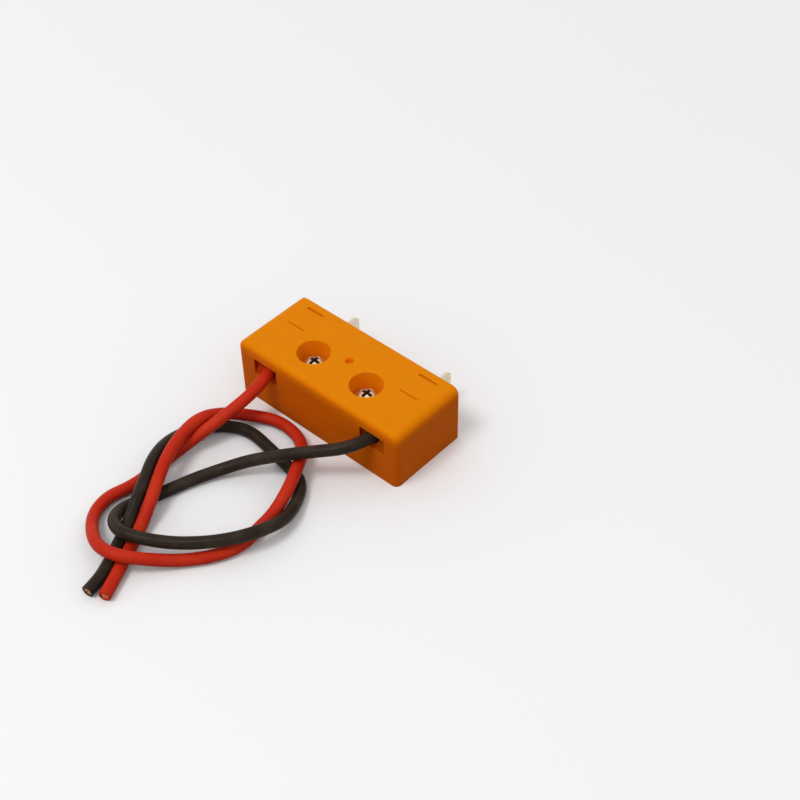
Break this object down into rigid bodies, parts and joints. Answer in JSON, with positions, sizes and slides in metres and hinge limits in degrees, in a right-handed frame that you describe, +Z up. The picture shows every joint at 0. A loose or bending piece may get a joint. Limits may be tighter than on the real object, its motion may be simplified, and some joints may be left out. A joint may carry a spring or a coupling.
{
  "type": "tool battery adapter",
  "caption": "Orange block that fills a slide-on tool battery's terminal bay and brings both poles out on loose red and black silicone leads with bare cut ends.",
  "frame": {"origin": "middle of the block's underside, on the surface it stands on", "axes": "+X along the block, from the red lead's side to the black lead's side; +Y from the face with the leads to the face with the blades; +Z up, out of the face with the two screws"},
  "size_m": [0.0516, 0.0992, 0.0163],
  "materials": {
    "orange_plastic": "matt, with the fine layer lines of a printed part",
    "screw_steel": "zinc plated",
    "contact_metal": "nickel plated sheet",
    "solder": "satin solder",
    "red_silicone": "satin silicone rubber",
    "black_silicone": "satin silicone rubber",
    "tinned_copper": "fine cut strands"
  },
  "bodies": {
    "root": {"housing": "orange_plastic", "base_plate": "orange_plastic", "left_screw": "screw_steel", "right_screw": "screw_steel", "left_nut": "screw_steel", "right_nut": "screw_steel", "positive_contact": "contact_metal", "negative_contact": "contact_metal", "positive_solder_joint": "solder", "negative_solder_joint": "solder", "red_wire": "red_silicone", "black_wire": "black_silicone", "red_conductor": "tinned_copper", "black_conductor": "tinned_copper", "red_core_end": "tinned_copper", "black_core_end": "tinned_copper"}
  },
  "joints": []
}
